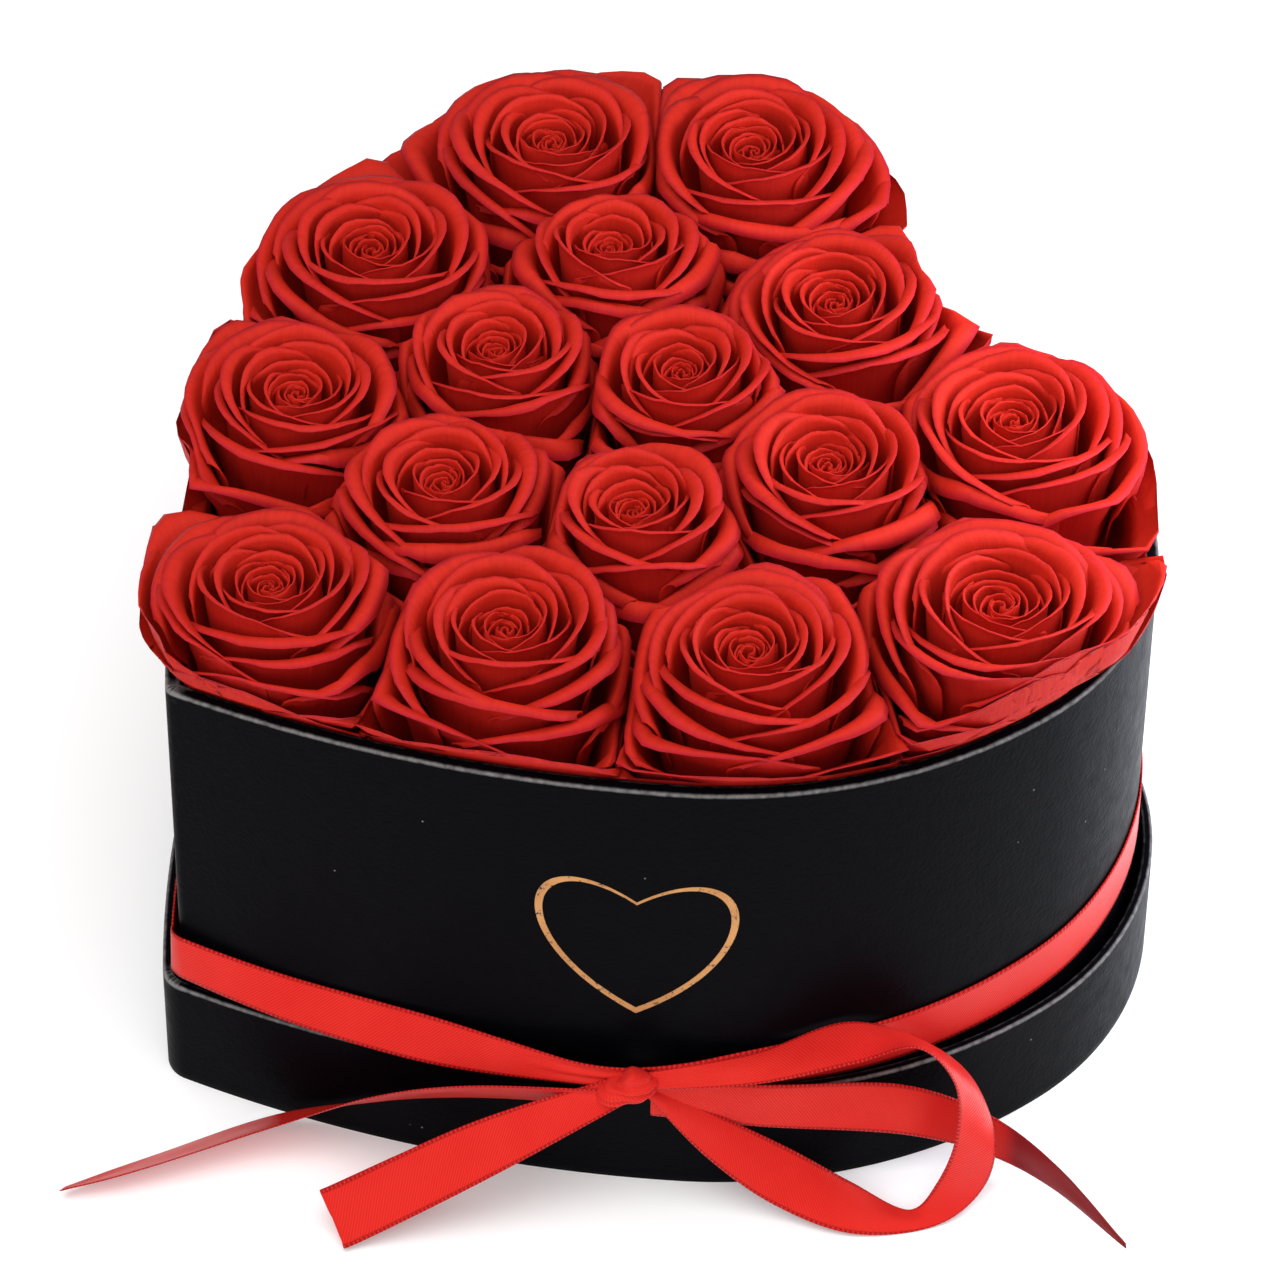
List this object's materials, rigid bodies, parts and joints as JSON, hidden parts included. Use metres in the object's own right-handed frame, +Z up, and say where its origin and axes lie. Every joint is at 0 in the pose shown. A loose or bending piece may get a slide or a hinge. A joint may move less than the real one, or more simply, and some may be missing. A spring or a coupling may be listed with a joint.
{
  "type": "flower box",
  "caption": "Heart-shaped rigid gift box standing in its upturned lid, filled with red rose heads, with a satin ribbon and bow.",
  "frame": {"origin": "middle of the flat closed face of the upturned lid, on the surface it stands on", "axes": "+Z up; the front wall with the foil mark and the bow faces -Y; the heart's point is at low X and low Y and its cleft at high X, so the heart's axis runs 34.5 degrees from +X"},
  "size_m": [0.2615, 0.2638, 0.152],
  "materials": {
    "black_paper": "fine leather grain, satin",
    "black_liner": "matt",
    "grey_board": "matt",
    "foam": "matt",
    "gold_foil": "satin",
    "red_satin": "satin",
    "rose_petals": "velvety",
    "rose_stem": "matt"
  },
  "bodies": {
    "lid": {"lid_face_paper": "black_paper", "lid_face_board": "grey_board", "lid_wall_board": "grey_board", "lid_wrap": "black_paper", "lid_liner": "black_liner"},
    "box": {"box_base_paper": "black_paper", "box_base_board": "grey_board", "box_wall_board": "grey_board", "box_wrap": "black_paper", "box_liner": "black_liner", "foil_mark": "gold_foil", "foam_block": "foam", "ribbon_band": "red_satin", "bow_knot": "red_satin", "bow_loop_right": "red_satin", "bow_loop_left": "red_satin", "ribbon_tail_right": "red_satin", "ribbon_tail_left": "red_satin", "rose_01": "rose_petals", "rose_02": "rose_petals", "rose_03": "rose_petals", "rose_04": "rose_petals", "rose_05": "rose_petals", "rose_06": "rose_petals", "rose_07": "rose_petals", "rose_08": "rose_petals", "rose_09": "rose_petals", "rose_10": "rose_petals", "rose_11": "rose_petals", "rose_12": "rose_petals", "rose_13": "rose_petals", "rose_14": "rose_petals", "rose_15": "rose_petals", "rose_16": "rose_petals", "stem_01": "rose_stem", "stem_02": "rose_stem", "stem_03": "rose_stem", "stem_04": "rose_stem", "stem_05": "rose_stem", "stem_06": "rose_stem", "stem_07": "rose_stem", "stem_08": "rose_stem", "stem_09": "rose_stem", "stem_10": "rose_stem", "stem_11": "rose_stem", "stem_12": "rose_stem", "stem_13": "rose_stem", "stem_14": "rose_stem", "stem_15": "rose_stem", "stem_16": "rose_stem"}
  },
  "joints": [
    {"name": "box_lift", "type": "slide", "parent": "lid", "child": "box", "axis": [0, 0, 1], "range_m": [0, 0.06]}
  ]
}
